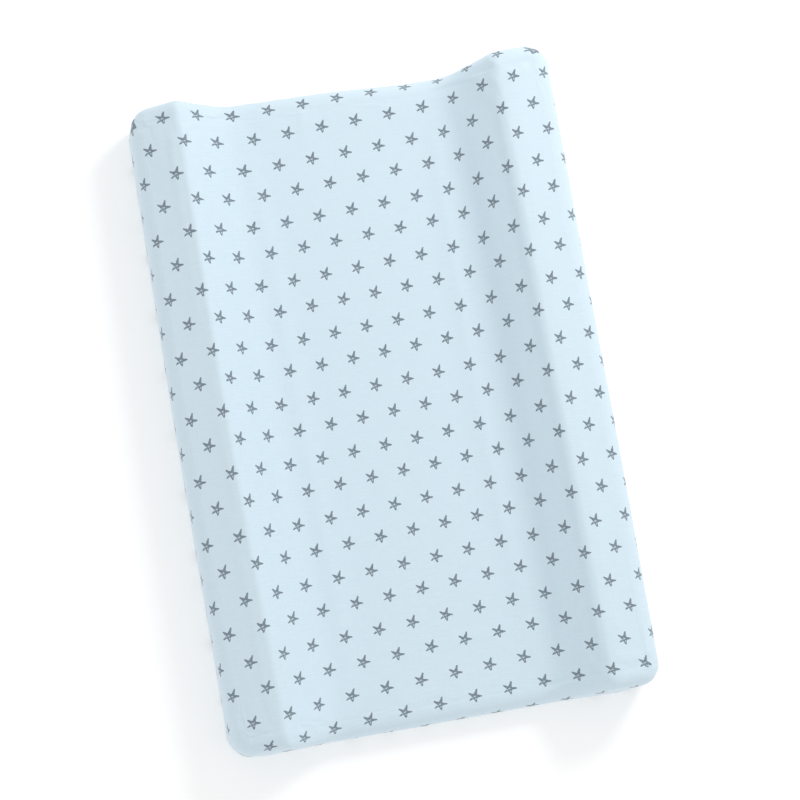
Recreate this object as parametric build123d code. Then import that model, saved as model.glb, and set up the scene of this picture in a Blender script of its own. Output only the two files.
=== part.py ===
from build123d import *
import os

# A changing mat for a baby: a foam core that is flat in the middle with a raised wedge along
# each long side, a waterproof liner closed by a zip on the underside, and a fitted cotton cover
# whose elastic hem turns under the mat. Millimetres. The origin is the centre of the rectangle
# that the mat stands on. +Y points to the head end, +X to the right and +Z up.

# ---- overall form, measured over the cotton cover ----
mat_width = 530.0
mat_length = 800.0
flat_height = 36.0             # top of the flat lying area
crest_rise = 65.0              # crest of a raised side above the lying area, before its rounding
edge_rise = 48.0               # outer top edge of a raised side above the lying area
valley_from_edge = 125.0       # outer edge to the foot of a raised side
crest_from_edge = 66.0         # outer edge to the crest of a raised side
valley_radius = 45.0
crest_radius = 30.0
top_edge_radius = 17.0         # top edge all round
bottom_edge_radius = 8.0       # lower edge all round
plan_corner_radius = 27.0

# ---- layers, from the outside inwards ----
cloth = 0.8                    # cotton cover
cloth_to_liner = 1.0           # slack between cover and liner, where the seams lie
liner_sheet = 0.5
liner_to_foam = 0.3
wedge_toe = 8.0                # a foam wedge's thin edge starts this far inside the valley line

# ---- liner seam ----
seam_height = 16.0             # middle of the seam above the table
seam_tape_width = 12.0
seam_tape = 0.4

# ---- zip across the underside, near the foot end ----
zip_from_foot = 150.0          # foot end of the mat to the zip's centre line
zip_to_hem = 10.0              # hem to the end of the tape or of the open pull tab
coil_width = 2.6
coil_height = 2.0
coil_gap = 1.2                 # between the two rows of teeth, where the slider's post runs
tape_width = 15.0
tape = 0.5
tape_overrun = 12.0            # tape beyond the stops at each end
tape_to_liner = 0.1
stop_length = 3.0
stop_wall = 0.5                # a stop's metal round the teeth
slot_margin = 1.5              # slot in the liner and relief in the foam, round the slider

# ---- zip slider and pull tab ----
slider_length = 12.0
slider_width = 10.0
slider_plate = 1.0
slider_clearance = 0.3         # slider to the teeth and the tape
flange_width = 1.0             # turned-in edges of the slider's plates
post_length = 4.0
bail_length = 6.4              # loop that holds the pull tab
bail_width = 2.0
bail_wall = 0.9
bail_to_table = 0.4
pin_radius = 0.6               # cross bar of the pull tab
pin_clearance = 0.3
tab_length = 22.0
tab_width = 7.0
tab = 1.1
tab_eye = 5.0                  # opening of the tab round the loop
eye_clearance = 0.5
tab_slot_length = 8.0          # opening in the grip end
tab_slot_width = 2.6
tab_slot_margin = 2.6          # slot to the tab's end

# ---- underside recess that keeps the hem and the zip off the table ----
recess_inset = 58.0            # outer edge of the mat to the recess
recess_corner_radius = 60.0

# ---- hem of the cover ----
recess_to_hem = 4.0
hem_width = 12.0
hem_height = 4.4
hem_to_liner = 1.2
elastic_width = 7.0
elastic = 1.6

# ---- corner seams and care label ----
corner_seam = 0.5
corner_seam_width = 9.0
corner_seam_to_tape = 4.0      # lower end above the liner's seam tape
corner_seam_to_top = 5.0       # upper end below the rounding of the top edge
seam_to_cloth = 0.1
label_width = 18.0
label_length = 34.0
label = 0.4
label_height = 0.4             # label above the table
label_x = 90.0                 # centre line to the label's centre, at the head end

# ---- worked out from the above ----
valley_half_width = mat_width / 2 - valley_from_edge
crest_half_width = mat_width / 2 - crest_from_edge
liner_inset = cloth + cloth_to_liner
foam_inset = liner_inset + liner_sheet + liner_to_foam
slider_height = coil_height + 2 * (slider_clearance + slider_plate)
bail_drop = bail_wall + 2 * (pin_clearance + pin_radius)
zip_room = bail_to_table + bail_drop + slider_height / 2 + tape / 2 + tape_to_liner
recess_height = max(zip_room, hem_height + hem_to_liner)
chain_height = recess_height - tape_to_liner - tape / 2
slider_bottom = chain_height - slider_height / 2
slider_top = chain_height + slider_height / 2
pin_height = slider_bottom - pin_clearance - pin_radius
bail_bottom = slider_bottom - bail_drop
hem_inset = recess_inset + recess_to_hem
hem_corner_radius = recess_corner_radius - recess_to_hem
corner_seam_low = seam_height + seam_tape_width / 2 + corner_seam_to_tape
corner_seam_high = flat_height + edge_rise - top_edge_radius - corner_seam_to_top
zip_end_reach = max(stop_length + tape_overrun, tab_length - slider_length / 2)
chain_length = mat_width - 2 * (hem_inset + hem_width + zip_to_hem + zip_end_reach)
zip_y = zip_from_foot - mat_length / 2
coil_outer = coil_gap / 2 + coil_width
slot_half_width = slider_width / 2 + slot_margin
slider_x = (slider_length - chain_length) / 2    # closed, at the left end of the teeth


def block(x, y, z):
    """A box between two limits along each axis."""
    size = (x[1] - x[0], y[1] - y[0], z[1] - z[0])
    return Pos(x[0], y[0], z[0]) * Box(*size, align=(Align.MIN, Align.MIN, Align.MIN))


def slab(inset, radius, z):
    """A rounded rectangular slab, its sides this far inside the mat's outer edge."""
    outline = RectangleRounded(mat_width - 2 * inset, mat_length - 2 * inset, radius)
    return Pos(0, 0, z[0]) * extrude(outline, z[1] - z[0])


def profile():
    """The mat's cross-section over the cover, with soft crests and valleys."""
    half = mat_width / 2
    crest = (crest_half_width, flat_height + crest_rise)
    right = [(valley_half_width, flat_height), crest, (half, flat_height + edge_rise), (half, 0)]
    left = [(-x, z) for x, z in reversed(right)]
    face = make_face(Polyline(*right, *left, close=True))
    for x, radius in ((valley_half_width, valley_radius), (crest_half_width, crest_radius)):
        corners = [v for v in face.vertices() if abs(abs(v.X) - x) < 0.01]
        face = fillet(corners, radius)
    return face


def body(inset):
    """The mat's solid form, with every surface moved inwards by inset."""
    face = profile()
    if inset > 0:
        face = offset(face, -inset, kind=Kind.INTERSECTION)
    solid = extrude(Plane.XZ * face, mat_length / 2 - inset, both=True)
    solid &= slab(inset, plan_corner_radius - inset, (0, flat_height + crest_rise))
    lower = [e for e in solid.edges() if e.bounding_box().max.Z < inset + 0.01]
    solid = fillet(lower, bottom_edge_radius - inset)
    walls = [f for f in solid.faces() if abs(f.normal_at().Z) < 0.01]
    above = [e for f in walls for e in f.edges() if e.center().Z > bottom_edge_radius + 0.01]
    rim = [e for e in above if abs(e.tangent_at(0.5).Z) < 0.99]
    return fillet(rim, top_edge_radius - inset)


def core(inset):
    """The mat's form below the cover, with the recess in its underside."""
    deeper = inset - liner_inset
    radius = recess_corner_radius + deeper
    return body(inset) - slab(recess_inset - deeper, radius, (0, recess_height + deeper))


def hem_ring(wall):
    """The hem's square-sided ring, every surface moved inwards by wall."""
    z = (wall, hem_height - wall)
    inner = hem_width - wall
    ring = slab(hem_inset + wall, hem_corner_radius - wall, z)
    return ring - slab(hem_inset + inner, hem_corner_radius - inner, z)


def make_foam():
    """The foam slab and the two wedges glued on it, relieved round the zip."""
    whole = core(foam_inset)
    flat = flat_height - foam_inset
    toe = valley_half_width - wedge_toe
    far = mat_width
    right = whole & block((toe, far), (-mat_length, mat_length), (flat, far))
    left = whole & block((-far, -toe), (-mat_length, mat_length), (flat, far))
    half = chain_length / 2 + stop_length + slot_margin
    y = (zip_y - slot_half_width, zip_y + slot_half_width)
    relief = block((-half, half), y, (0, slider_top + slot_margin))
    return {
        "foam_base": whole - left - right - relief,
        "foam_wedge_left": left,
        "foam_wedge_right": right,
    }


def make_liner():
    """The waterproof top and bottom sheets, and the tape over their seam."""
    shell = core(liner_inset) - core(liner_inset + liner_sheet)
    far = mat_length
    half = chain_length / 2 + stop_length + slot_margin
    y = (zip_y - slot_half_width, zip_y + slot_half_width)
    slot = block((-half, half), y, (0, slider_top + slot_margin))
    seam = (seam_height - seam_tape_width / 2, seam_height + seam_tape_width / 2)
    outer = liner_inset - seam_tape
    tape_band = slab(outer, plan_corner_radius - outer, seam)
    tape_band -= slab(liner_inset, plan_corner_radius - liner_inset, seam)
    return {
        "liner_top": shell & block((-far, far), (-far, far), (seam_height, far)),
        "liner_bottom": (shell & block((-far, far), (-far, far), (0, seam_height))) - slot,
        "liner_seam_tape": tape_band,
    }


def make_cover():
    """The cotton cover, its elastic hem, its corner seams and its blank label."""
    opening = slab(hem_inset, hem_corner_radius, (0, cloth))
    elastic_ring = slab(
        hem_inset + (hem_width - elastic_width) / 2,
        hem_corner_radius - (hem_width - elastic_width) / 2,
        ((hem_height - elastic) / 2, (hem_height + elastic) / 2),
    )
    elastic_ring -= slab(
        hem_inset + (hem_width + elastic_width) / 2,
        hem_corner_radius - (hem_width + elastic_width) / 2,
        (0, hem_height),
    )
    outer = cloth + seam_to_cloth
    inner = outer + corner_seam
    z = (corner_seam_low, corner_seam_high)
    wall = slab(outer, plan_corner_radius - outer, z) - slab(inner, plan_corner_radius - inner, z)
    corner_x = mat_width / 2 - plan_corner_radius
    corner_y = mat_length / 2 - plan_corner_radius
    seams = []
    for sx in (-1, 1):
        for sy in (-1, 1):
            reach = block((0, plan_corner_radius), (-corner_seam_width / 2, corner_seam_width / 2), z)
            turn = Rot(0, 0, {(1, 1): 45, (-1, 1): 135, (-1, -1): 225, (1, -1): 315}[sx, sy])
            seams += (wall & (Pos(sx * corner_x, sy * corner_y, 0) * turn * reach)).solids()
    label_y = mat_length / 2 - hem_inset - hem_width
    return {
        "cotton_cover": body(0) - body(cloth) - opening,
        "hem_casing": hem_ring(0) - hem_ring(cloth),
        "hem_elastic": elastic_ring,
        "cover_corner_seams": Compound(seams),
        "care_label": block(
            (label_x - label_width / 2, label_x + label_width / 2),
            (label_y - label_length, label_y),
            (label_height, label_height + label),
        ),
    }


def make_zip():
    """The zip's tapes, teeth and stops, which stay with the liner."""
    half = chain_length / 2
    end = half + stop_length + tape_overrun
    coil_z = (chain_height - coil_height / 2, chain_height + coil_height / 2)
    tape_z = (chain_height - tape / 2, chain_height + tape / 2)
    stop_z = (coil_z[0] - stop_wall, coil_z[1] + stop_wall)
    parts = {}
    closed_stops = []
    for name, side in (("front", -1), ("rear", 1)):
        coil = sorted((zip_y + side * coil_gap / 2, zip_y + side * coil_outer))
        cloth_band = sorted((zip_y + side * coil_outer, zip_y + side * (coil_outer + tape_width)))
        parts[f"zip_coil_{name}"] = block((-half, half), coil, coil_z)
        parts[f"zip_tape_{name}"] = block((-end, end), cloth_band, tape_z)
        closed_stops += block((-half - stop_length, -half), coil, stop_z).solids()
    parts["zip_stops_closed"] = Compound(closed_stops)
    y = (zip_y - coil_outer, zip_y + coil_outer)
    parts["zip_stop_open"] = block((half, half + stop_length), y, stop_z)
    return parts


def make_slider():
    """The slider: two plates with turned-in edges, joined by a post, and a loop for the tab."""
    x = (slider_x - slider_length / 2, slider_x + slider_length / 2)
    half = slider_width / 2
    y = (zip_y - half, zip_y + half)
    low = (slider_bottom, slider_bottom + slider_plate)
    high = (slider_top - slider_plate, slider_top)
    slider = block(x, y, low) + block(x, y, high)
    tape_room = tape / 2 + slider_clearance
    for side in (-1, 1):
        flange = sorted((zip_y + side * (half - flange_width), zip_y + side * half))
        slider += block(x, flange, (low[1], chain_height - tape_room))
        slider += block(x, flange, (chain_height + tape_room, high[0]))
    post = coil_gap / 2 - slider_clearance
    post_x = (slider_x - post_length / 2, slider_x + post_length / 2)
    slider += block(post_x, (zip_y - post, zip_y + post), (low[0], high[1]))
    corners = [e for e in slider.edges() if is_outer_corner(e, x, y)]
    slider = fillet(corners, slider_width / 4)
    bail_y = (zip_y - bail_width / 2, zip_y + bail_width / 2)
    bail_x = (slider_x - bail_length / 2, slider_x + bail_length / 2)
    window_x = (bail_x[0] + bail_wall, bail_x[1] - bail_wall)
    window_z = (bail_bottom + bail_wall, slider_bottom)
    bail = block(bail_x, bail_y, (bail_bottom, slider_bottom)) - block(window_x, bail_y, window_z)
    return {"zip_slider": slider + bail}


def is_outer_corner(edge, x, y):
    """True for an upright edge at a corner of the slider's outline."""
    middle = edge.center()
    at_x = min(abs(middle.X - limit) for limit in x) < 0.01
    at_y = min(abs(middle.Y - limit) for limit in y) < 0.01
    return at_x and at_y


def make_tab():
    """The pull tab: a bar through the slider's loop, two arms and a grip with a slot."""
    bar = Pos(slider_x, zip_y, pin_height) * Rot(90, 0, 0) * Cylinder(pin_radius, tab_width)
    outline = SlotOverall(2 * tab_length, tab_width) & Pos(tab_length / 2, 0) * Rectangle(
        tab_length, tab_width
    )
    eye = Pos(pin_radius + tab_eye / 2, 0) * Rectangle(tab_eye, bail_width + 2 * eye_clearance)
    slot_x = tab_length - tab_slot_margin - tab_slot_length / 2
    slot = Pos(slot_x, 0) * SlotOverall(tab_slot_length, tab_slot_width)
    plate = Pos(slider_x, zip_y, pin_height - tab / 2) * extrude(outline - eye - slot, tab)
    return {"zip_pull_tab": bar + plate}


os.makedirs("parts", exist_ok=True)
for make in (make_foam, make_liner, make_cover, make_zip, make_slider, make_tab):
    for node, shape in make().items():
        export_step(shape, f"parts/{node}.step")
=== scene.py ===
import math

import bmesh
import bpy
import numpy as np
from mathutils import Matrix, Vector, noise


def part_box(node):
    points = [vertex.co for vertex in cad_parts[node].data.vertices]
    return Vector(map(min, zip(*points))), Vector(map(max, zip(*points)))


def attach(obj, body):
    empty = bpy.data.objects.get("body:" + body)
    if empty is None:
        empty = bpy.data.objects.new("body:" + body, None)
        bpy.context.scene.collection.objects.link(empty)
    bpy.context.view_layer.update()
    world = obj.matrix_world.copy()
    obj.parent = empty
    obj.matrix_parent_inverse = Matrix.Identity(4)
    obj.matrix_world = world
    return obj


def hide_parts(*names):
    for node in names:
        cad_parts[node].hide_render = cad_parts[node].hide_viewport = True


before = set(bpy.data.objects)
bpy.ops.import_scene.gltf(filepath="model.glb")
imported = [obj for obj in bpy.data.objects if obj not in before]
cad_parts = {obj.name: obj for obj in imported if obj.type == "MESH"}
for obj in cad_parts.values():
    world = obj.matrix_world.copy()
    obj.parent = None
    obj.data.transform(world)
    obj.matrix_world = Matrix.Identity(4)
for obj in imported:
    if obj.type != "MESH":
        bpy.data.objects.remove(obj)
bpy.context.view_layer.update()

MM = 0.001

# ---- light ----
AMBIENT = 0.84
KEY = 21.0
FLOOR_GLOW = 0.18

# ---- the mat's form over its cover, in metres; its crests are a little crisper and its outer
# edges lower than in the CAD ----
HALF_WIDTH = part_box("cotton_cover")[1].x
HALF_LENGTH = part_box("cotton_cover")[1].y
FLAT = 36 * MM
CREST = 63 * MM                   # rise before rounding
EDGE = 40 * MM
VALLEY_X = HALF_WIDTH - 125 * MM
CREST_X = HALF_WIDTH - 66 * MM
VALLEY_RADIUS = 45 * MM
CREST_RADIUS = 10 * MM
TOP_RADIUS = 17 * MM
BOTTOM_RADIUS = 8 * MM
CORNER_RADIUS = 27 * MM
HEM_INSET = 62 * MM
HEM_CORNER = 56 * MM
CASING_INSET = 68 * MM            # outer edge of the mat to the middle of the hem casing
CASING_CORNER = 50 * MM
LINER_INSET = 1.8 * MM
TAPE_INSET = 1.3 * MM
FOAM_INSET = 2.6 * MM
SEAM_INSET = 1.1 * MM
PANEL_HEIGHT = 5.8 * MM           # underside of the liner above the zip and the hem
SEAM_HEIGHT = 16 * MM
ZIP_Y = -250 * MM

# ---- cloth simulation of the cover ----
DRAW_FRAMES = 16
TAUTNESS = 0.012                  # how much smaller the cloth is than the form it is drawn over
DRAW_CAP = 4 * MM                 # no point moves further than this


# ---------------------------------------------------------------- form of the mat

def rounded_heights(x, corners):
    """Heights of a line through the corners (x, height, radius), each rounded by its radius."""
    px = np.array([c[0] for c in corners])
    pz = np.array([c[1] for c in corners])
    height = np.interp(x, px, pz)
    for i in range(1, len(corners) - 1):
        radius = corners[i][2]
        before = math.atan2(pz[i] - pz[i - 1], px[i] - px[i - 1])
        after = math.atan2(pz[i + 1] - pz[i], px[i + 1] - px[i])
        turn = after - before
        reach = radius * math.tan(abs(turn) / 2)
        sign = math.copysign(1, turn)
        start = (px[i] - reach * math.cos(before), pz[i] - reach * math.sin(before))
        centre = (
            start[0] - sign * radius * math.sin(before),
            start[1] + sign * radius * math.cos(before),
        )
        end_x = px[i] + reach * math.cos(after)
        inside = (x > start[0]) & (x < end_x)
        arc = centre[1] - sign * np.sqrt(np.maximum(radius**2 - (x - centre[0]) ** 2, 0))
        height = np.where(inside, arc, height)
    return height


PROFILE = [
    (0.0, FLAT, 0.0),
    (VALLEY_X, FLAT, VALLEY_RADIUS),
    (CREST_X, FLAT + CREST, CREST_RADIUS),
    (HALF_WIDTH + 0.05, FLAT + EDGE - 0.05 * (CREST - EDGE) / (HALF_WIDTH - CREST_X), 0.0),
]


def profile(x):
    """Height of the mat's top above the table, at a distance across from its centre line."""
    return rounded_heights(np.abs(x), PROFILE)


ACROSS = np.linspace(0, HALF_WIDTH + 0.02, 600)
AROUND = np.concatenate(
    [[0], np.cumsum(np.hypot(np.diff(ACROSS), np.diff(profile(ACROSS))))]
)


def along_surface(x):
    """Distance from the centre line measured over the surface."""
    return np.sign(x) * np.interp(np.abs(x), ACROSS, AROUND)


def ease(t):
    """Rises smoothly from 0 to 1 as t does."""
    t = np.clip(t, 0, 1)
    return t * t * (3 - 2 * t)


# How the soft mat has settled out of its true shape, in metres.
BOW = -4.5 * MM           # sideways, from the middle of the length to the head
FOOT_PINCH = 3 * MM       # both long edges draw in at the foot
HEAD_LEAN = 2.7 * MM      # both long edges lean one way at the head
HEAD_FROM = 0.25          # the head end's own shifts start here along the length
HEAD_DIP = -6 * MM        # a hollow in the head end
DIP_X, DIP_HALF_WIDTH = 0.1, 0.13
CORNER_OUT = 8 * MM       # the corner beside the hollow stands out
CORNER_FROM = 0.14

# Share of its height by which each outer edge has sunk or stayed up.
EDGE_X = [-HALF_WIDTH, -CREST_X, CREST_X, HALF_WIDTH]
EDGE_SAG = [-0.14, 0.0, 0.0, 0.11]


def settle(points):
    """Moves points of the ideal mat to where the soft one has them."""
    x, y, z = points[:, 0].copy(), points[:, 1].copy(), points[:, 2].copy()
    edge = (x / HALF_WIDTH) ** 4
    dx = BOW * (1 - edge) * ease(1 + y / HALF_LENGTH)
    dx += HEAD_LEAN * edge * ease(y / HALF_LENGTH)
    dx -= FOOT_PINCH * x / HALF_WIDTH * ease(-y / HALF_LENGTH)
    dy = HEAD_DIP * (1 - ease(np.abs(x - DIP_X) / DIP_HALF_WIDTH))
    dy += CORNER_OUT * ease((x - CORNER_FROM) / (HALF_WIDTH - CORNER_FROM))
    dy *= ease((y - HEAD_FROM) / (HALF_LENGTH - HEAD_FROM))
    held = 0.3 + 0.7 * ease(z / FLAT)
    dx *= held
    dy *= held
    z *= 1 + np.interp(x, EDGE_X, EDGE_SAG)
    return np.stack([x + dx, y + dy, z], axis=1)


# ---------------------------------------------------------------- the wrapped surface

def grid_lines(half, corner, step, fine):
    """Symmetric grid lines that are closer together beside the two ends."""
    inner = half - corner
    count = max(2, round(2 * inner / step))
    middle = np.linspace(-inner, inner, count + 1)
    edge = np.linspace(inner, half, fine + 1)[1:]
    return np.concatenate([-edge[::-1], middle, edge])


def with_lines(lines, place, apart):
    """The grid lines with three more at each side, so that a crest there stays crisp."""
    extra = np.array([s * (place + k * apart) for s in (-1, 1) for k in (-1, 0, 1)])
    clear = np.abs(lines[:, None] - extra[None]).min(axis=1) > 0.7 * apart
    return np.sort(np.concatenate([lines[clear], extra]))


def round_corner(x, y, hx, hy, radius):
    """Maps a rectangular grid onto a rectangle with rounded corners."""
    u = np.clip((np.abs(x) - (hx - radius)) / radius, 0, 1)
    v = np.clip((np.abs(y) - (hy - radius)) / radius, 0, 1)
    both = (u > 0) & (v > 0)
    rx = np.where(both, (hx - radius) + radius * u * np.sqrt(1 - v * v / 2), np.abs(x))
    ry = np.where(both, (hy - radius) + radius * v * np.sqrt(1 - u * u / 2), np.abs(y))
    return np.sign(x) * rx, np.sign(y) * ry


def outline_point(side, f, hx, hy, radius):
    """A point on a rounded rectangle: side 0 foot, 1 right, 2 head, 3 left; f runs from -1 to 1."""
    half, depth = ((hx, hy), (hy, hx))[side % 2]
    straight = half - radius
    s = f * (straight + radius * math.pi / 4)
    over = max(abs(s) - straight, 0) / radius
    a = math.copysign(min(abs(s), straight) + radius * math.sin(over), s)
    b = depth - radius * (1 - math.cos(over))
    return [(a, -b), (b, a), (-a, b), (-b, -a)][side]


class Wrap:
    """A quad mesh over the mat's top, down its walls and in under it, to the hem."""

    def __init__(self, inset, levels, step=6.5 * MM):
        self.inset = inset
        self.levels = levels
        hx = HALF_WIDTH - TOP_RADIUS
        hy = HALF_LENGTH - TOP_RADIUS
        core_radius = CORNER_RADIUS - TOP_RADIUS
        xs = with_lines(grid_lines(hx, core_radius, step, 6), CREST_X, 3.2 * MM)
        ys = grid_lines(hy, core_radius, step, 6)
        gx, gy = np.meshgrid(xs, ys, indexing="ij")
        x, y = round_corner(gx, gy, hx, hy, core_radius)
        nx, ny = len(xs), len(ys)
        number = np.arange(nx * ny).reshape(nx, ny)
        z = profile(x)
        slope = (profile(np.abs(x) + 1e-4) - profile(np.abs(x) - 1e-4)) / 2e-4
        normal = np.stack([-slope * np.sign(x), np.zeros_like(x), np.ones_like(x)], axis=-1)
        normal /= np.linalg.norm(normal, axis=-1, keepdims=True)
        top = np.stack([x, y, z], axis=-1) - inset * normal
        self.points = [tuple(p) for p in top.reshape(-1, 3)]
        self.cloth = [tuple(c) for c in np.stack([along_surface(x), y], axis=-1).reshape(-1, 2)]
        self.faces = []
        self.corner_uv = []
        for i in range(nx - 1):
            for j in range(ny - 1):
                face = (number[i, j], number[i + 1, j], number[i + 1, j + 1], number[i, j + 1])
                self.add(face, [self.cloth[v] for v in face])
        self.rings(number, x, y, z, slope, hx, hy, core_radius)

    def add(self, face, uv):
        self.faces.append(tuple(int(v) for v in face))
        self.corner_uv.append(uv)

    def rings(self, number, x, y, z, slope, hx, hy, core_radius):
        """Adds the rings below the top grid's edge and joins them up."""
        loop = list(number[:-1, 0]) + list(number[-1, :-1])
        loop += list(number[:0:-1, -1]) + list(number[0, :0:-1])
        flat_x, flat_y, flat_z, flat_slope = x.ravel(), y.ravel(), z.ravel(), slope.ravel()
        count = len(loop)
        rows = []
        self.side, self.share = [], []
        for v in loop:
            px, py, pz = flat_x[v], flat_y[v], flat_z[v]
            cx = math.copysign(hx - core_radius, px)
            cy = math.copysign(hy - core_radius, py)
            beyond_x, beyond_y = abs(px) > abs(cx) + 1e-9, abs(py) > abs(cy) + 1e-9
            if beyond_x and beyond_y:
                n = Vector((px - cx, py - cy)).normalized()
            elif abs(abs(px) - hx) < 1e-9:
                n = Vector((math.copysign(1, px), 0))
            else:
                n = Vector((0, math.copysign(1, py)))
            side = (0 if n.y < 0 else 2) if abs(n.y) >= abs(n.x) else (1 if n.x > 0 else 3)
            along, half = ((px, HALF_WIDTH), (py, HALF_LENGTH))[side % 2]
            straight = half - CORNER_RADIUS
            turn = math.asin(min(1, abs((n.x, n.y)[side % 2])))
            s = min(abs(along), straight) + CORNER_RADIUS * turn * (abs(along) > straight)
            f = math.copysign(s / (straight + CORNER_RADIUS * math.pi / 4), along)
            if side in (2, 3):
                f = -f
            rows.append(self.row(Vector((px, py)), n, pz, flat_slope[v], side, f))
            self.side.append(side)
            self.share.append(f)
        depth = len(rows[0])
        base = len(self.points)
        for row in rows:
            self.points += [tuple(p) for p, _ in row]
        for k in range(count):
            m = (k + 1) % count
            side = self.side[k]
            if self.side[k] != self.side[m]:
                side = self.side[k] if abs(self.share[k]) <= abs(self.share[m]) else self.side[m]
            for r in range(-1, depth - 1):
                ids, uv = [], []
                for column, level in ((k, r), (k, r + 1), (m, r + 1), (m, r)):
                    ids.append(loop[column] if level < 0 else base + column * depth + level)
                    down = 0 if level < 0 else rows[column][level][1]
                    uv.append(self.flap(loop[column], side, down))
                self.add(ids, uv)
        self.last_ring = [base + k * depth + depth - 1 for k in range(count)]

    def row(self, p, n, height, slope, side, f):
        """The points below one edge vertex, each with its distance down over the cloth."""
        inset = self.inset
        lean = math.atan(max(0.0, -slope * abs(n.x)))
        radius = TOP_RADIUS / (1 - math.sin(lean))
        out, down, row = 0.0, 0.0, []
        last = None
        for k in range(1, 6):
            angle = lean + (math.pi / 2 - lean) * k / 5
            out = radius * (math.sin(angle) - math.sin(lean))
            z = height + radius * (math.cos(angle) - math.cos(lean))
            point = Vector((*(p + n * (out - inset * math.sin(angle))), z - inset * math.cos(angle)))
            down += radius * (math.pi / 2 - lean) / 5
            row.append((point, down))
        top = z
        for k in range(1, 8):
            z = top + (BOTTOM_RADIUS - top) * k / 8
            belly = 1.2 * MM * math.sin(math.pi * k / 8)
            row.append((Vector((*(p + n * (TOP_RADIUS - inset + belly)), z)), down + top - z))
        down += top - BOTTOM_RADIUS
        for k in range(0, 4):
            angle = math.pi / 2 * k / 3
            out = TOP_RADIUS - BOTTOM_RADIUS + (BOTTOM_RADIUS - inset) * math.cos(angle)
            z = BOTTOM_RADIUS - (BOTTOM_RADIUS - inset) * math.sin(angle)
            row.append((Vector((*(p + n * out), z)), down + BOTTOM_RADIUS * angle))
        down += BOTTOM_RADIUS * math.pi / 2
        for target, z, steps in self.levels:
            start = row[-1][0]
            end = Vector((*target(side, f), z))
            for k in range(1, steps + 1):
                t = k / steps
                row.append((start.lerp(end, t), down + (end - start).length * t))
            down += (end - start).length
        return row

    def flap(self, vertex, side, down):
        """Cloth coordinates on the flap of one side, folded out flat."""
        u, v = self.cloth[vertex]
        return [(u, v - down), (u + down, v), (u, v + down), (u - down, v)][side]


def outline(inset, radius):
    """The mat's outline moved in by inset, with the given corner radius."""
    return lambda side, f: outline_point(side, f, HALF_WIDTH - inset, HALF_LENGTH - inset, radius)


def slot_outline(side, f):
    """The zip's opening in the liner."""
    x, y = outline_point(side, f, 172 * MM, 6.5 * MM, 1 * MM)
    return x, y + ZIP_Y


# Print of the cloth: how it was stretched over the foam.
SPREAD_ENDS = (0.004, 0.11)       # the print is this much wider at the ends than in the middle
SPREAD_LENGTH = (0.011, -0.023)
SLOPE_SHARE = 0.38                # part of the slopes' extra length that the print follows
# How far it was pulled off its straight rows, in metres.
SLOPE_PULL = 3.5 * MM             # sideways, on the wedges
HEAD_PULL = -8.5 * MM             # sideways, between the wedges at the head end
FOOT_PULL = 6 * MM                # lengthwise, on the wedges at the foot end
PULL_FROM_X, PULL_WIDTH = 0.1, 0.13
PULL_FROM_Y, PULL_LENGTH = 0.13, 0.2
FOOT_LENGTH = 0.29


def pull(x, y):
    """How far the print was pulled, across and along."""
    on_wedge = ease((np.abs(x) - PULL_FROM_X) / PULL_WIDTH)
    at_head = ease((y - PULL_FROM_Y) / PULL_LENGTH)
    across = SLOPE_PULL * on_wedge + HEAD_PULL * (1 - on_wedge) * at_head
    along = FOOT_PULL * on_wedge * ease(-y / FOOT_LENGTH)
    return across, along


def print_place(u, v):
    """Where a point of the wrapped cloth lies on the undistorted print."""
    share = np.clip(v / 0.4, -1.3, 1.3)
    v = v / (1 + SPREAD_LENGTH[0] * share + SPREAD_LENGTH[1] * share**2)
    u = u / (1 + SPREAD_ENDS[0] * share + SPREAD_ENDS[1] * share**2)
    return u, v


def ground_share(u):
    """Cloth distance over the surface, eased back towards plan distance on the slopes."""
    plan = np.sign(u) * np.interp(np.abs(u), AROUND, ACROSS)
    beyond = np.sign(u) * np.maximum(np.abs(u) - AROUND[-1], 0)
    plan = plan + beyond
    return plan + SLOPE_SHARE * (u - plan)


def make_object(name, points, faces, uvs=None):
    mesh = bpy.data.meshes.new(name)
    mesh.from_pydata([tuple(map(float, p)) for p in points], [], [tuple(map(int, f)) for f in faces])
    if uvs is not None:
        layer = mesh.uv_layers.new(name="print")
        layer.data.foreach_set("uv", np.asarray(uvs, np.float32).ravel())
    mesh.update()
    obj = bpy.data.objects.new(name, mesh)
    bpy.context.scene.collection.objects.link(obj)
    mesh.polygons.foreach_set("use_smooth", [True] * len(mesh.polygons))
    return obj


def printed_uvs(wrap, settled):
    """The print's coordinates at every face corner of a wrapped piece that has settled."""
    ideal = np.array(wrap.points)
    moved = settled - ideal
    across, along = pull(settled[:, 0], settled[:, 1])
    dx = moved[:, 0] + across
    dy = moved[:, 1] + along
    vertices = np.array(wrap.faces).ravel()
    flat = np.array([c for uv in wrap.corner_uv for c in uv], float)
    u = ground_share(flat[:, 0] + dx[vertices])
    return np.stack(print_place(u, flat[:, 1] + dy[vertices]), axis=1)


def vertex_normals(points, faces):
    """Smooth normals of a quad mesh."""
    p = np.asarray(points)
    f = np.asarray(faces)
    n = np.cross(p[f[:, 2]] - p[f[:, 0]], p[f[:, 3]] - p[f[:, 1]])
    total = np.zeros_like(p)
    for k in range(4):
        np.add.at(total, f[:, k], n)
    return total / np.maximum(np.linalg.norm(total, axis=1, keepdims=True), 1e-12)


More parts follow.
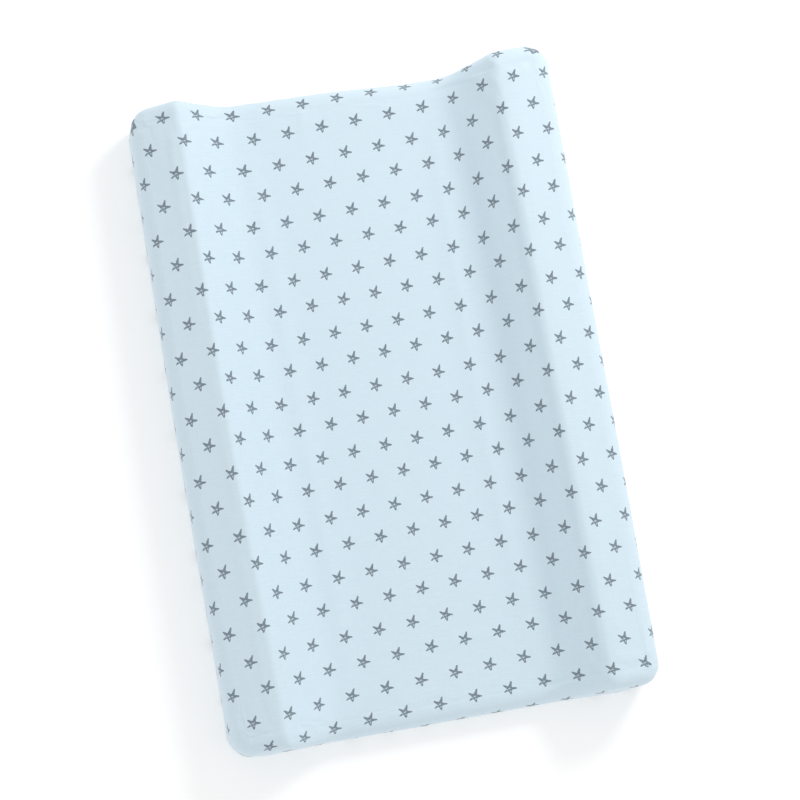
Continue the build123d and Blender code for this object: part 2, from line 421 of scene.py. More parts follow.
# The cloth's small puckers: heights in millimetres, places and widths in metres.
SOFT_HEIGHT, SOFT_SCALE = 0.35, (9, 6, 9)
FINE_HEIGHT, FINE_SCALE = 0.12, (34, 22, 30)
PUCKER_CORNERS = [(-1, -1, 0.5), (1, -1, 0.5), (-1, 1, 0.6), (1, 1, 1.0)]  # side, end, strength
PUCKER_HEIGHT, PUCKER_REACH, PUCKER_FOLDS = 0.9, 0.034, 9
SEAM_WIDTH, GATHER_PITCH, SEAM_TOP = 0.0016, 0.011, 0.075
FOLD_HEIGHT, FOLD_WIDTH, FOLD_LENGTH = 0.8, 0.004, 0.11
FOLD_Y, FOLD_SLANT = -0.306, 0.02
PLEAT_DEPTH, PLEAT_PITCH, PLEAT_LENGTH = 0.9, 0.0135, 0.05
PLEAT_FROM = 0.012                # from the mat's edge to where the pleats begin


def creases(points):
    """Height of the cloth's small puckers over the foam, by place on the ideal mat."""
    x, y, z = points[:, 0], points[:, 1], points[:, 2]
    out = np.zeros(len(points))
    (sx, sy, sz), (fx, fy, fz) = SOFT_SCALE, FINE_SCALE
    for i, (px, py, pz) in enumerate(points):
        soft = noise.noise(Vector((px * sx, py * sy, pz * sz)))
        fine = noise.noise(Vector((px * fx + 7, py * fy, pz * fz)))
        out[i] = SOFT_HEIGHT * soft + FINE_HEIGHT * fine
    # puckers fanning in from the four corners, strongest at the head's right one
    for side, end, strength in PUCKER_CORNERS:
        dx = side * (HALF_WIDTH - 4 * MM) - x
        dy = end * (HALF_LENGTH - 4 * MM) - y
        far = np.hypot(dx, dy)
        angle = np.arctan2(dy * end, dx * side)
        fade = np.exp(-((far / PUCKER_REACH) ** 2))
        fan = np.sin(angle * PUCKER_FOLDS + 60 * far + side + 2 * end)
        out += strength * PUCKER_HEIGHT * fade * fan
    # the seam down each corner
    beside = np.abs(np.abs(x) - HALF_WIDTH - (np.abs(y) - HALF_LENGTH)) / math.sqrt(2)
    corner = (np.abs(x) > HALF_WIDTH - CORNER_RADIUS) & (np.abs(y) > HALF_LENGTH - CORNER_RADIUS)
    gather = 1 + 0.35 * np.sin(z * 2 * math.pi / GATHER_PITCH)
    below_top = ease((SEAM_TOP - z) / 0.02) * (z > 4 * MM)
    out -= corner * np.exp(-((beside / SEAM_WIDTH) ** 2)) * gather * below_top
    # a faint fold across the flat near the foot
    fold_y = FOLD_Y + FOLD_SLANT * (x - 0.05)
    along = np.clip(x / FOLD_LENGTH, 0, 1)
    across = np.exp(-(((y - fold_y) / FOLD_WIDTH) ** 2))
    out += FOLD_HEIGHT * across * np.sin(math.pi * along) * (z > 0.03)
    # pleats under the mat, where the cloth is drawn in to the hem
    from_edge = np.minimum(HALF_WIDTH - np.abs(x), HALF_LENGTH - np.abs(y))
    inward = np.clip((from_edge - PLEAT_FROM) / PLEAT_LENGTH, 0, 1)
    around = np.where(HALF_WIDTH - np.abs(x) < HALF_LENGTH - np.abs(y), y, x)
    under = (z < 2 * MM) * inward
    pleats = np.sin(around * 2 * math.pi / PLEAT_PITCH + 2.5 * np.sin(around * 37)) * 0.5 + 0.5
    out -= under * PLEAT_DEPTH * pleats
    return out * MM


# ---------------------------------------------------------------- materials

class Nodes:
    """Short names for building a node tree."""

    def __init__(self, name):
        self.material = bpy.data.materials.new(name)
        self.material.use_nodes = True
        self.tree = self.material.node_tree
        self.shader = self.tree.nodes["Principled BSDF"]

    def new(self, kind, **settings):
        node = self.tree.nodes.new(kind)
        for key, value in settings.items():
            setattr(node, key, value)
        return node

    def put(self, socket, value):
        if isinstance(value, bpy.types.NodeSocket):
            self.tree.links.new(value, socket)
        else:
            socket.default_value = value

    def math(self, operation, a, b=0.0, c=0.0, clamp=False):
        node = self.new("ShaderNodeMath", operation=operation, use_clamp=clamp)
        for socket, value in zip(node.inputs, (a, b, c)):
            self.put(socket, value)
        return node.outputs[0]

    def vector(self, operation, a, b=(0, 0, 0), scale=1.0):
        node = self.new("ShaderNodeVectorMath", operation=operation)
        self.put(node.inputs[0], a)
        self.put(node.inputs[1], b)
        if operation == "SCALE":
            self.put(node.inputs["Scale"], scale)
        return node.outputs["Value" if operation in ("DOT_PRODUCT", "LENGTH") else "Vector"]

    def join(self, x, y, z=0.0):
        node = self.new("ShaderNodeCombineXYZ")
        for socket, value in zip(node.inputs, (x, y, z)):
            self.put(socket, value)
        return node.outputs[0]

    def split(self, vector):
        node = self.new("ShaderNodeSeparateXYZ")
        self.put(node.inputs[0], vector)
        return node.outputs

    def step(self, value, low, high, to_low=0.0, to_high=1.0):
        node = self.new("ShaderNodeMapRange", interpolation_type="SMOOTHSTEP")
        for socket, item in zip(node.inputs, (value, low, high, to_low, to_high)):
            self.put(socket, item)
        return node.outputs[0]

    def mix(self, share, a, b):
        node = self.new("ShaderNodeMix", data_type="RGBA")
        self.put(node.inputs[0], share)
        self.put(node.inputs[6], a)
        self.put(node.inputs[7], b)
        return node.outputs[2]

    def noise(self, vector, scale, detail=2.0, roughness=0.5):
        node = self.new("ShaderNodeTexNoise")
        self.put(node.inputs["Vector"], vector)
        node.inputs["Scale"].default_value = scale
        node.inputs["Detail"].default_value = detail
        node.inputs["Roughness"].default_value = roughness
        return node.outputs[0]

    def uv(self, name="print"):
        return self.new("ShaderNodeUVMap", uv_map=name).outputs[0]

    def place(self):
        return self.new("ShaderNodeTexCoord").outputs["Object"]

    def bump(self, height, strength, distance):
        node = self.new("ShaderNodeBump")
        node.inputs["Strength"].default_value = strength
        node.inputs["Distance"].default_value = distance
        self.put(node.inputs["Height"], height)
        self.tree.links.new(node.outputs[0], self.shader.inputs["Normal"])

    def surface(self, **values):
        for key, value in values.items():
            self.put(self.shader.inputs[key.replace("_", " ").title()], value)


def srgb(r, g, b):
    """A colour given as it looks on screen, from 0 to 255."""
    def linear(c):
        c /= 255
        return c / 12.92 if c <= 0.04045 else ((c + 0.055) / 1.055) ** 2.4
    return (linear(r), linear(g), linear(b), 1.0)


# The print's repeat in millimetres: stars stand 39.7 apart along slanting rows, and two rows
# make one repeat, the second a little off the middle of the first.
STAR_STEP = (39.7, 2.1)
ROW_PAIR = (38.3, -72.7)
FIRST_STAR = (7.6, 283.4)
SECOND_ROW = (21.8, -37.9)
# One star: five uneven arms from its middle, as (tip x, tip y, base radius, tip radius).
STAR_MIDDLE = (0.0, -1.2)
STAR_ARMS = [
    (3.2, 7.1, 2.4, 0.9),
    (7.4, -2.0, 2.6, 0.95),
    (0.5, -7.8, 2.9, 1.05),
    (-6.0, -5.0, 2.2, 0.75),
    (-5.8, 3.7, 2.4, 0.9),
]
# Places where the pen left the cloth bare: (x, y, half length, half width, turn in degrees).
STAR_GAPS = [
    (-0.1, -1.3, 1.7, 1.0, 15.0),
    (0.65, -4.8, 1.4, 0.75, 85.0),
    (-3.0, -2.3, 1.1, 0.8, 40.0),
]


def nearest_star(n, place, first):
    """Offset of a point from the nearest star of one set of rows, in millimetres."""
    (ax, ay), (bx, by) = STAR_STEP, ROW_PAIR
    area = ax * by - ay * bx
    p = n.vector("SUBTRACT", place, (*first, 0))
    along = n.vector("DOT_PRODUCT", p, (by / area, -bx / area, 0))
    across = n.vector("DOT_PRODUCT", p, (-ay / area, ax / area, 0))
    i, j = n.math("ROUND", along), n.math("ROUND", across)
    x = n.math("MULTIPLY_ADD", i, ax, n.math("MULTIPLY", j, bx))
    y = n.math("MULTIPLY_ADD", i, ay, n.math("MULTIPLY", j, by))
    return n.vector("SUBTRACT", p, n.join(x, y))


def star_ink(n, place):
    """How much ink is at a point of the print, from 0 to 1."""
    wobble = n.new("ShaderNodeTexNoise")
    n.put(wobble.inputs["Vector"], place)
    wobble.inputs["Scale"].default_value = 0.45
    wobble.inputs["Detail"].default_value = 2.0
    shake = n.vector("SCALE", n.vector("SUBTRACT", wobble.outputs["Color"], (0.5, 0.5, 0.5)), scale=1.3)
    place = n.vector("ADD", place, shake)
    first = nearest_star(n, place, FIRST_STAR)
    second_start = (FIRST_STAR[0] + SECOND_ROW[0], FIRST_STAR[1] + SECOND_ROW[1])
    second = nearest_star(n, place, second_start)
    choose = n.math("LESS_THAN", n.vector("LENGTH", second), n.vector("LENGTH", first))
    pick = n.new("ShaderNodeMix", data_type="VECTOR")
    n.put(pick.inputs[0], choose)
    n.put(pick.inputs[4], first)
    n.put(pick.inputs[5], second)
    p = n.vector("MULTIPLY", pick.outputs[1], (1, 1, 0))
    mx, my = STAR_MIDDLE
    from_middle = n.vector("SUBTRACT", p, (mx, my, 0))
    shape = None
    for tip_x, tip_y, base, tip in STAR_ARMS:
        arm = Vector((tip_x - mx, tip_y - my))
        t = n.vector("DOT_PRODUCT", from_middle, (*(arm / arm.length_squared), 0))
        t = n.math("MAXIMUM", n.math("MINIMUM", t, 1.0), 0.0)
        at = n.join(n.math("MULTIPLY", t, arm.x), n.math("MULTIPLY", t, arm.y))
        gap = n.vector("LENGTH", n.vector("SUBTRACT", from_middle, at))
        gap = n.math("SUBTRACT", gap, n.math("MULTIPLY_ADD", t, tip - base, base))
        shape = gap if shape is None else n.math("SMOOTH_MIN", shape, gap, 0.7)
    ink = n.step(shape, 0.18, -0.18)
    for x, y, half_length, half_width, turn in STAR_GAPS:
        c, s = math.cos(math.radians(turn)), math.sin(math.radians(turn))
        q = n.vector("SUBTRACT", p, (x, y, 0))
        u = n.math("DIVIDE", n.vector("DOT_PRODUCT", q, (c, s, 0)), half_length)
        v = n.math("DIVIDE", n.vector("DOT_PRODUCT", q, (-s, c, 0)), half_width)
        r = n.math("SQRT", n.math("ADD", n.math("MULTIPLY", u, u), n.math("MULTIPLY", v, v)))
        ink = n.math("MULTIPLY", ink, n.step(r, 0.55, 1.15, 0.3, 1.0))
    scratch = n.noise(n.vector("MULTIPLY", place, (1.0, 0.35, 1.0)), 2.2, 3.0, 0.6)
    worn = n.step(scratch, 0.42, 0.60, 1.0, 0.72)
    return n.math("MULTIPLY", ink, worn)


CLOTH = srgb(214, 231, 241)
CLOTH_SHADE = srgb(206, 225, 236)
INK = srgb(97, 110, 122)


THREAD_PITCH = 0.42               # of the cotton weave, in millimetres


def cotton():
    """The cover's plain-woven cotton with its star print, placed in millimetres."""
    n = Nodes("printed_cotton")
    place = n.vector("SCALE", n.uv(), scale=1000.0)
    x, y = n.split(place)[:2]
    warp = n.math("SINE", n.math("MULTIPLY", x, math.pi / THREAD_PITCH))
    weft = n.math("SINE", n.math("MULTIPLY", y, math.pi / THREAD_PITCH))
    weave = n.math("MULTIPLY", warp, weft)
    slubs = n.noise(n.vector("MULTIPLY", place, (0.05, 1.0, 1.0)), 0.9, 3.0, 0.65)
    threads = n.noise(n.vector("MULTIPLY", place, (1.0, 0.06, 1.0)), 0.9, 2.0, 0.6)
    tone = n.math("ADD", n.math("MULTIPLY", slubs, 0.65), n.math("MULTIPLY", threads, 0.35))
    base = n.mix(n.step(tone, 0.3, 0.7), CLOTH_SHADE, CLOTH)
    base = n.mix(n.math("MULTIPLY", star_ink(n, place), 0.96), base, INK)
    n.surface(base_color=base, roughness=n.step(slubs, 0.2, 0.8, 0.86, 0.94))
    n.shader.inputs["Sheen Weight"].default_value = 0.25
    n.shader.inputs["Sheen Roughness"].default_value = 0.5
    n.shader.inputs["Specular IOR Level"].default_value = 0.25
    height = n.math("MULTIPLY_ADD", weave, 0.06, n.math("MULTIPLY", tone, 0.6))
    n.bump(height, 0.35, 0.0002)
    return n.material


def vinyl():
    """The liner's wipe-clean sheet."""
    n = Nodes("liner_vinyl_white")
    cloud = n.noise(n.place(), 60.0, 4.0, 0.55)
    grain = n.noise(n.place(), 2200.0, 2.0)
    n.surface(base_color=n.mix(cloud, srgb(228, 234, 238), srgb(238, 242, 244)),
              roughness=n.step(cloud, 0.2, 0.8, 0.32, 0.44))
    n.shader.inputs["Coat Weight"].default_value = 0.15
    n.shader.inputs["Coat Roughness"].default_value = 0.3
    n.bump(n.math("ADD", cloud, n.math("MULTIPLY", grain, 0.08)), 0.5, 0.0012)
    return n.material


def foam():
    """The pads' open-cell foam, its colour darkened into the pores as painted shade."""
    n = Nodes("open_cell_foam")
    pores = n.new("ShaderNodeTexVoronoi")
    n.put(pores.inputs["Vector"], n.place())
    pores.inputs["Scale"].default_value = 900.0
    depth = pores.outputs["Distance"]
    # painted shade: the colour darkens into the pores, where the bump sinks the surface
    n.surface(base_color=n.mix(depth, srgb(216, 214, 204), srgb(240, 238, 230)), roughness=0.95)
    n.bump(depth, 0.8, 0.0008)
    return n.material


def woven(name, dark, light, pitch, shine=0.6):
    """A narrow woven band: ribs across and along at the given pitch in metres, with painted shade in the
    grooves between them.
    """
    n = Nodes(name)
    x, y, z = n.split(n.place())
    a = n.math("SINE", n.math("MULTIPLY", n.math("ADD", x, z), 2 * math.pi / pitch))
    b = n.math("SINE", n.math("MULTIPLY", n.math("ADD", y, z), 2 * math.pi / pitch))
    ribs = n.math("MULTIPLY", a, b)
    cloud = n.noise(n.place(), 400.0, 3.0)
    # painted shade: the colour is darker in the grooves between the ribs, where the bump sinks them; the
    # cloud adds tone that differs at random
    n.surface(base_color=n.mix(n.math("MULTIPLY_ADD", ribs, 0.25, cloud), dark, light),
              roughness=n.step(cloud, 0.2, 0.8, shine, shine + 0.15))
    n.shader.inputs["Sheen Weight"].default_value = 0.15
    n.bump(ribs, 0.6, 0.00025)
    return n.material


def nylon():
    """The zip's nylon coils."""
    n = Nodes("zip_nylon")
    cloud = n.noise(n.place(), 900.0, 2.0)
    n.surface(base_color=n.mix(cloud, srgb(214, 220, 226), srgb(234, 238, 242)),
              roughness=n.step(cloud, 0.2, 0.8, 0.3, 0.42))
    n.bump(cloud, 0.2, 0.0001)
    return n.material


def nickel():
    """Brushed nickel of the slider, its tab and the stops."""
    n = Nodes("brushed_nickel")
    lines = n.noise(n.vector("MULTIPLY", n.place(), (60.0, 1400.0, 1400.0)), 1.0, 3.0, 0.6)
    wear = n.noise(n.place(), 500.0, 3.0)
    n.surface(base_color=n.mix(wear, srgb(176, 176, 174), srgb(204, 204, 200)), metallic=1.0,
              roughness=n.step(lines, 0.2, 0.8, 0.24, 0.42))
    n.bump(lines, 0.15, 0.00005)
    return n.material


def thread():
    """Twisted sewing thread."""
    n = Nodes("sewing_thread")
    x, y, z = n.split(n.place())
    twist = n.math("SINE", n.math("MULTIPLY", n.math("ADD", x, n.math("ADD", y, z)), 12000.0))
    cloud = n.noise(n.place(), 300.0, 2.0)
    n.surface(base_color=n.mix(cloud, srgb(222, 232, 240), srgb(240, 244, 248)), roughness=0.7)
    n.bump(twist, 0.4, 0.0001)
    return n.material


# ---------------------------------------------------------------- pieces

def finish_piece(obj, material, nodes=(), body="mat"):
    obj.data.materials.append(material)
    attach(obj, body)
    if nodes:
        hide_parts(*nodes)
    return obj


def subdivided(obj, levels=1):
    modifier = obj.modifiers.new("smooth", "SUBSURF")
    modifier.levels = modifier.render_levels = levels
    return obj


def wrapped(inset, levels, drawn=None):
    """A wrapped layer that has settled, with its creases: the wrap and its points."""
    wrap = Wrap(inset, levels)
    points = settle(np.array(wrap.points))
    if drawn:
        points = drawn(points, wrap.faces)
    lift = creases(np.array(wrap.points))
    points = points + vertex_normals(points, wrap.faces) * lift[:, None]
    points[:, 2] = np.maximum(points[:, 2], inset)
    return wrap, points


def drawn_taut(points, faces):
    """The cover drawn taut over the liner by a cloth simulation, held at its hem band."""
    scene = bpy.context.scene
    under = Wrap(LINER_INSET, [])
    body = make_object("cloth_body", settle(np.array(under.points)), under.faces)
    body.modifiers.new("Collision", "COLLISION")
    body.collision.thickness_outer = 1 * MM
    body.collision.cloth_friction = 20
    sheet = make_object("cloth_sheet", points, faces)
    held = sheet.vertex_groups.new(name="held")
    held.add([int(i) for i in np.nonzero(points[:, 2] < 3 * MM)[0]], 1.0, "REPLACE")
    cloth = sheet.modifiers.new("Cloth", "CLOTH")
    cloth.settings.vertex_group_mass = "held"
    cloth.settings.quality = 5
    cloth.settings.mass = 0.15
    cloth.settings.tension_stiffness = 20
    cloth.settings.compression_stiffness = 20
    cloth.settings.shear_stiffness = 8
    cloth.settings.bending_stiffness = 0.3
    cloth.settings.shrink_min = TAUTNESS
    cloth.collision_settings.distance_min = 1 * MM
    cloth.point_cache.frame_start = 1
    cloth.point_cache.frame_end = DRAW_FRAMES
    for moment in range(1, DRAW_FRAMES + 1):
        scene.frame_set(moment)
    result = sheet.evaluated_get(bpy.context.evaluated_depsgraph_get())
    drawn = np.array([v.co for v in result.data.vertices])
    bpy.data.objects.remove(sheet)
    bpy.data.objects.remove(body)
    scene.frame_set(1)
    move = drawn - points
    normal = vertex_normals(points, faces)
    out = np.einsum("ij,ij->i", move, normal)
    move += normal * (np.clip(out, -0.6 * MM, DRAW_CAP) - out)[:, None]
    size = np.linalg.norm(move, axis=1, keepdims=True)
    return points + move * np.minimum(1, DRAW_CAP / np.maximum(size, 1e-9))


def make_cover(material):
    levels = [(outline(HEM_INSET, HEM_CORNER), 0.0, 8)]
    wrap, points = wrapped(0.0, levels, drawn_taut)
    uvs = printed_uvs(wrap, points)
    obj = make_object("cotton_cover_cloth", points, wrap.faces, uvs)
    return subdivided(finish_piece(obj, material, ["cotton_cover"]))


def part_of(points, faces, keep):
    """The faces for which keep is true, with only the points they use."""
    kept = [f for f, k in zip(faces, keep) if k]
    used = sorted({v for f in kept for v in f})
    number = {v: i for i, v in enumerate(used)}
    return points[used], [[number[v] for v in f] for f in kept]


def make_liner(material, tape):
    """The waterproof liner: top, bottom with the zip's opening, and the tape over their seam."""
    levels = [
        (outline(58 * MM, 60 * MM), LINER_INSET, 6),
        (outline(59.5 * MM, 58.5 * MM), PANEL_HEIGHT, 2),
        (slot_outline, PANEL_HEIGHT, 16),
    ]
    wrap, points = wrapped(LINER_INSET, levels)
    middle = np.array([points[list(f)].mean(axis=0)[2] for f in wrap.faces])
    top = make_object("liner_top_sheet", *part_of(points, wrap.faces, middle >= SEAM_HEIGHT))
    bottom = make_object("liner_bottom_sheet", *part_of(points, wrap.faces, middle < SEAM_HEIGHT))
    finish_piece(top, material, ["liner_top"])
    finish_piece(bottom, material, ["liner_bottom"])
    wrap, points = wrapped(TAPE_INSET, [])
    middle = np.array([points[list(f)].mean(axis=0)[2] for f in wrap.faces])
    band = (middle > SEAM_HEIGHT - 7 * MM) & (middle < SEAM_HEIGHT + 7 * MM)
    strip = make_object("liner_seam_strip", *part_of(points, wrap.faces, band))
    finish_piece(strip, tape, ["liner_seam_tape"])


def make_foam_pieces(material):
    """The foam: a base and a wedge at each side, cut from one body as they are glued together."""
    levels = [(outline(56 * MM, 62 * MM), FOAM_INSET, 4), (outline(57 * MM, 61 * MM), 7 * MM, 2)]
    wrap, points = wrapped(FOAM_INSET, levels)
    cut = FLAT - FOAM_INSET + 0.8 * MM
    for name, node, side in (
        ("foam_base_pad", "foam_base", 0),
        ("foam_left_pad", "foam_wedge_left", -1),
        ("foam_right_pad", "foam_wedge_right", 1),
    ):
        body = bmesh.new()
        vertices = [body.verts.new(p) for p in points]
        for face in wrap.faces:
            body.faces.new([vertices[v] for v in face])
        body.faces.new([vertices[v] for v in wrap.last_ring[::-1]])
        bmesh.ops.bisect_plane(
            body, geom=body.verts[:] + body.edges[:] + body.faces[:],
            plane_co=(0, 0, cut), plane_no=(0, 0, 1), clear_outer=side == 0, clear_inner=side != 0,
        )
        if side:
            other = [v for v in body.verts if v.co.x * side < 0]
            bmesh.ops.delete(body, geom=other, context="VERTS")
        bmesh.ops.holes_fill(body, edges=body.edges[:], sides=0)
        bmesh.ops.recalc_face_normals(body, faces=body.faces[:])
        mesh = bpy.data.meshes.new(name)
        body.to_mesh(mesh)
        body.free()
        obj = bpy.data.objects.new(name, mesh)
        bpy.context.scene.collection.objects.link(obj)
        finish_piece(obj, material, [node])


def ring_path(inset, radius, pitch):
    """Points about pitch apart along an outline, starting at the foot, and their outward normals."""
    path = []
    for side in range(4):
        half = (HALF_WIDTH, HALF_LENGTH)[side % 2] - inset
        count = round((2 * (half - radius) + radius * math.pi / 2) / pitch)
        for k in range(count):
            path.append(outline(inset, radius)(side, -1 + 2 * k / count))
    path = np.array(path)
    along = np.roll(path, -1, axis=0) - np.roll(path, 1, axis=0)
    along /= np.linalg.norm(along, axis=1, keepdims=True)
    return path, np.stack([along[:, 1], -along[:, 0]], axis=1)


def make_band(name, inset, radius, half_width, half_height, middle, ruffle, pitch=1.5 * MM):
    """A flat tube along an outline under the mat, gathered where ruffle is above 0."""
    path, normal = ring_path(inset, radius, pitch)
    count, sides = len(path), 12
    distance = np.arange(count) * pitch
    wave = np.sin(distance * 2 * math.pi / (7.4 * MM) + 1.6 * np.sin(distance * 61))
    points, uvs, faces = [], [], []
    for k in range(sides):
        angle = 2 * math.pi * k / sides
        across = math.copysign(abs(math.cos(angle)) ** 0.6, math.cos(angle)) * half_width
        height = math.copysign(abs(math.sin(angle)) ** 0.8, math.sin(angle)) * half_height
        swell = 1 - ruffle * (0.5 + 0.5 * wave) * (0.35 + 0.65 * (k < sides / 2))
        side = across + ruffle * 0.9 * MM * np.roll(wave, 2 * k)
        xy = path + normal * side[:, None]
        points.append(np.column_stack([xy, middle + height * swell]))
    points = np.stack(points, axis=1).reshape(-1, 3)
    for i in range(count):
        j = (i + 1) % count
        for k in range(sides):
            m = (k + 1) % sides
            faces.append((i * sides + k, j * sides + k, j * sides + m, i * sides + m))
            for a, b in ((i, k), (i + 1, k), (i + 1, k + 1), (i, k + 1)):
                uvs.append((a * pitch * 1.25, b * 4.6 * half_width / sides + 0.5))
    return make_object(name, settle(points), faces, uvs)


def make_hem(material, rubber):
    """The folded casing round the opening underneath, and the elastic inside it."""
    route = (CASING_INSET, CASING_CORNER)
    casing = make_band("hem_casing_cloth", *route, 6 * MM, 2.1 * MM, 2.2 * MM, 0.32)
    finish_piece(casing, material, ["hem_casing"])
    elastic = make_band("hem_elastic_band", *route, 3.4 * MM, 0.7 * MM, 2.1 * MM, 0.0, 4 * MM)
    finish_piece(elastic, rubber, ["hem_elastic"])
    return casing


def make_corner_seams(material):
    """The seam allowances inside the cover's four corners."""
    wrap, points = wrapped(SEAM_INSET, [])
    ideal = np.array(wrap.points)
    centre = np.array([ideal[list(f)].mean(axis=0) for f in wrap.faces])
    dx = np.abs(centre[:, 0]) - (HALF_WIDTH - CORNER_RADIUS)
    dy = np.abs(centre[:, 1]) - (HALF_LENGTH - CORNER_RADIUS)
    off = np.abs(dx - dy) / math.sqrt(2)
    keep = (dx > 0) & (dy > 0) & (off < 5 * MM) & (centre[:, 2] > 24 * MM) & (centre[:, 2] < 62 * MM)
    obj = make_object("corner_seam_allowance", *part_of(points, wrap.faces, keep))
    return finish_piece(obj, material, ["cover_corner_seams"])


def make_stitches(name, rows, material):
    """One piece of many stitches, each given as (middle, direction, height)."""
    points, faces = [], []
    for place, direction, height in rows:
        along = np.array([*direction, 0.0])
        side = np.array([-along[1], along[0], 0.0])
        up = np.array([0, 0, 1.0])
        middle = np.array([*place, height])
        base = len(points)
        for t, r in ((-1.15, 0.05), (-0.7, 0.2), (0.7, 0.2), (1.15, 0.05)):
            for k in range(6):
                a = math.pi * k / 3
                points.append(middle + along * t * MM + (side * math.cos(a) + up * math.sin(a)) * r * MM)
        for ring in range(3):
            for k in range(6):
                m = (k + 1) % 6
                i = base + ring * 6
                faces.append((i + k, i + m, i + 6 + m, i + 6 + k))
        faces.append(tuple(base + k for k in range(5, -1, -1)))
        faces.append(tuple(base + 18 + k for k in range(6)))
    obj = make_object(name, points, faces)
    return finish_piece(obj, material)


def straight_row(start, end, height, pitch=3.2 * MM):
    """Stitches about pitch apart from start to end."""
    start, end = np.array(start), np.array(end)
    length = np.linalg.norm(end - start)
    direction = (end - start) / length
    count = round(length / pitch)
    return [(start + direction * length * (k + 0.5) / count, direction, height) for k in range(count)]


def make_all_stitches(material):
    """The two rows along each zip tape, and the row beside the hem."""
    low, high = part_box("zip_tape_front"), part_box("zip_tape_rear")
    y0, y1 = low[0].y, high[1].y
    x0, x1 = low[0].x, low[1].x
    z = low[0].z
    rows = []
    for inner, outer in ((ZIP_Y - 7.5 * MM, y0 + 2 * MM), (ZIP_Y + 7.5 * MM, y1 - 2 * MM)):
        for y in (inner, outer):
            rows += straight_row((x0 + 3 * MM, y), (x1 - 3 * MM, y), z)
    make_stitches("zip_stitching", rows, material)
    path, normal = ring_path(63.5 * MM, 54.5 * MM, 3.4 * MM)
    placed = settle(np.column_stack([path, np.zeros(len(path))]))
    rows = [(p[:2], (-n[1], n[0]), 0.3 * MM) for p, n in zip(placed, normal)]
    make_stitches("hem_stitching", rows, material)


def make_coil(name, node, material):
    """One side of the zip: a fine nylon coil in the space of its rail."""
    low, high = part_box(node)
    wire = 0.34 * MM
    turns = round((high.x - low.x) / (1.5 * MM))
    around, sides = 12, 5
    ry, rz = (high.y - low.y) / 2 - wire, (high.z - low.z) / 2 - wire
    cy, cz = (high.y + low.y) / 2, (high.z + low.z) / 2
    t = np.arange(turns * around + 1) / around
    x = low.x + wire + (high.x - low.x - 2 * wire) * t / turns
    a = 2 * math.pi * t
    centre = np.stack([x, cy + ry * np.cos(a), cz + rz * np.sin(a)], axis=1)
    outward = np.stack([np.zeros_like(a), np.cos(a), np.sin(a)], axis=1)
    points = []
    for k in range(sides):
        b = 2 * math.pi * k / sides
        points.append(centre + wire * (outward * math.cos(b) + np.array([1.0, 0, 0]) * math.sin(b)))
    points = np.stack(points, axis=1).reshape(-1, 3)
    faces = []
    for i in range(len(t) - 1):
        for k in range(sides):
            m = (k + 1) % sides
            faces.append((i * sides + k, i * sides + m, (i + 1) * sides + m, (i + 1) * sides + k))
    faces.append(tuple(range(sides)))
    last = (len(t) - 1) * sides
    faces.append(tuple(last + k for k in range(sides - 1, -1, -1)))
    finish_piece(make_object(name, points, faces), material, [node])


def make_label(material):
    """A blank satin label, folded double, sewn in at the hem and curling a little at its fold."""
    low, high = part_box("care_label")
    across, down = 8, 24
    length = high.y - low.y
    points, faces, uvs = [], [], []
    for j in range(down + 1):
        t = 2 * j / down
        back = t if t <= 1 else 2 - t
        gap = (0.12 if t <= 1 else 0.62) * MM + 0.1 * MM * math.cos(math.pi * t)
        for i in range(across + 1):
            x = low.x + (high.x - low.x) * i / across
            curl = 0.9 * MM * back**3 * (0.7 + 0.3 * math.sin(3 * i / across))
            points.append((x, high.y - length * back, low.z + gap + curl))
    for j in range(down):
        for i in range(across):
            k = j * (across + 1) + i
            faces.append((k, k + 1, k + across + 2, k + across + 1))
            for a, b in ((i, j), (i + 1, j), (i + 1, j + 1), (i, j + 1)):
                uvs.append((a * 0.0022, b * 0.0028))
    obj = make_object("blank_care_label", settle(np.array(points)), faces, uvs)
    finish_piece(obj, material, ["care_label"])


def paint(material, *nodes):
    """Gives CAD nodes that are kept as they are a material."""
    for name in nodes:
        data = bpy.data.objects[name].data
        data.materials.clear()
        data.materials.append(material)


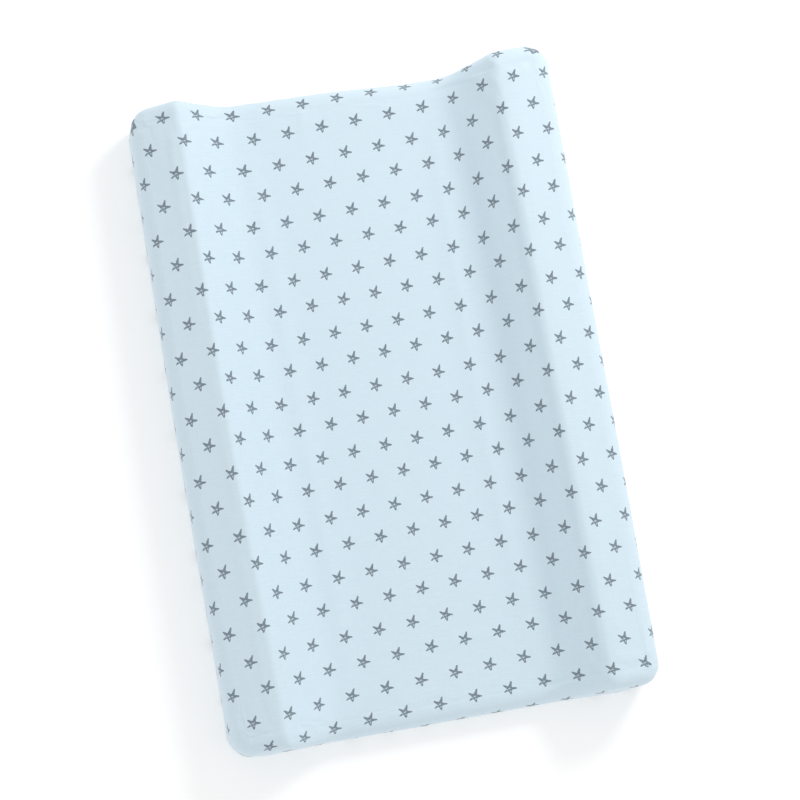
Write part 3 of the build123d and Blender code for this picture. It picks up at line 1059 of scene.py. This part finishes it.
cotton_print = cotton()
sewing = thread()
cover = make_cover(cotton_print)
make_liner(vinyl(), woven("seam_tape_weave", srgb(214, 220, 226), srgb(230, 234, 238), 0.0012))
make_foam_pieces(foam())
casing = make_hem(cotton_print, woven("elastic_weave", srgb(220, 222, 224), srgb(240, 240, 240), 0.0011))
seams = make_corner_seams(cotton_print)
make_all_stitches(sewing)
zip_nylon = nylon()
make_coil("zip_coil_front_teeth", "zip_coil_front", zip_nylon)
make_coil("zip_coil_rear_teeth", "zip_coil_rear", zip_nylon)
make_label(woven("label_satin", srgb(236, 238, 240), srgb(248, 248, 248), 0.0006, 0.4))
zip_twill = woven("zip_tape_twill", srgb(206, 216, 226), srgb(226, 234, 240), 0.0009)
paint(zip_twill, "zip_tape_front", "zip_tape_rear")
paint(nickel(), "zip_slider", "zip_pull_tab", "zip_stops_closed", "zip_stop_open")


# ---------------------------------------------------------------- stage

def make_floor():
    size = 14.0
    obj = make_object(
        "floor", [(-size, -size, 0), (size, -size, 0), (size, size, 0), (-size, size, 0)], [(0, 1, 2, 3)]
    )
    n = Nodes("pale_floor")
    n.surface(base_color=srgb(243, 243, 243), roughness=0.9)
    n.shader.inputs["Emission Color"].default_value = (1, 1, 1, 1)
    n.shader.inputs["Emission Strength"].default_value = FLOOR_GLOW
    obj.data.materials.append(n.material)


def make_camera():
    """Almost overhead, from a little to the left of the foot end, with a long lens."""
    data = bpy.data.cameras.new("camera")
    data.sensor_width = 36.0
    data.lens = 98.0
    camera = bpy.data.objects.new("camera", data)
    bpy.context.scene.collection.objects.link(camera)
    position = Vector((-0.299, -0.377, 2.675))
    forward = Vector((0.1159, 0.1387, -0.9835)).normalized()
    right = Vector((0.9804, -0.1751, 0.0908))
    right = (right - right.dot(forward) * forward).normalized()
    up = right.cross(forward)
    turn = Matrix((right, up, -forward)).transposed()
    camera.matrix_world = Matrix.Translation(position) @ turn.to_4x4()
    bpy.context.scene.camera = camera


def area_light(name, position, size, power, target=(0, 0, 0.03)):
    data = bpy.data.lights.new(name, "AREA")
    data.shape = "DISK"
    data.size = size
    data.energy = power
    light = bpy.data.objects.new(name, data)
    light.location = position
    light.rotation_mode = "QUATERNION"
    light.rotation_quaternion = (Vector(position) - Vector(target)).to_track_quat("Z", "Y")
    bpy.context.scene.collection.objects.link(light)


def make_world(strength):
    world = bpy.data.worlds.new("studio")
    bpy.context.scene.world = world
    world.use_nodes = True
    background = world.node_tree.nodes["Background"]
    background.inputs["Color"].default_value = (1.0, 1.0, 1.0, 1.0)
    background.inputs["Strength"].default_value = strength


make_floor()
make_camera()
make_world(AMBIENT)
area_light("key", (1.5, 1.35, 1.7), 0.8, KEY)
bpy.context.scene.view_settings.view_transform = "Standard"
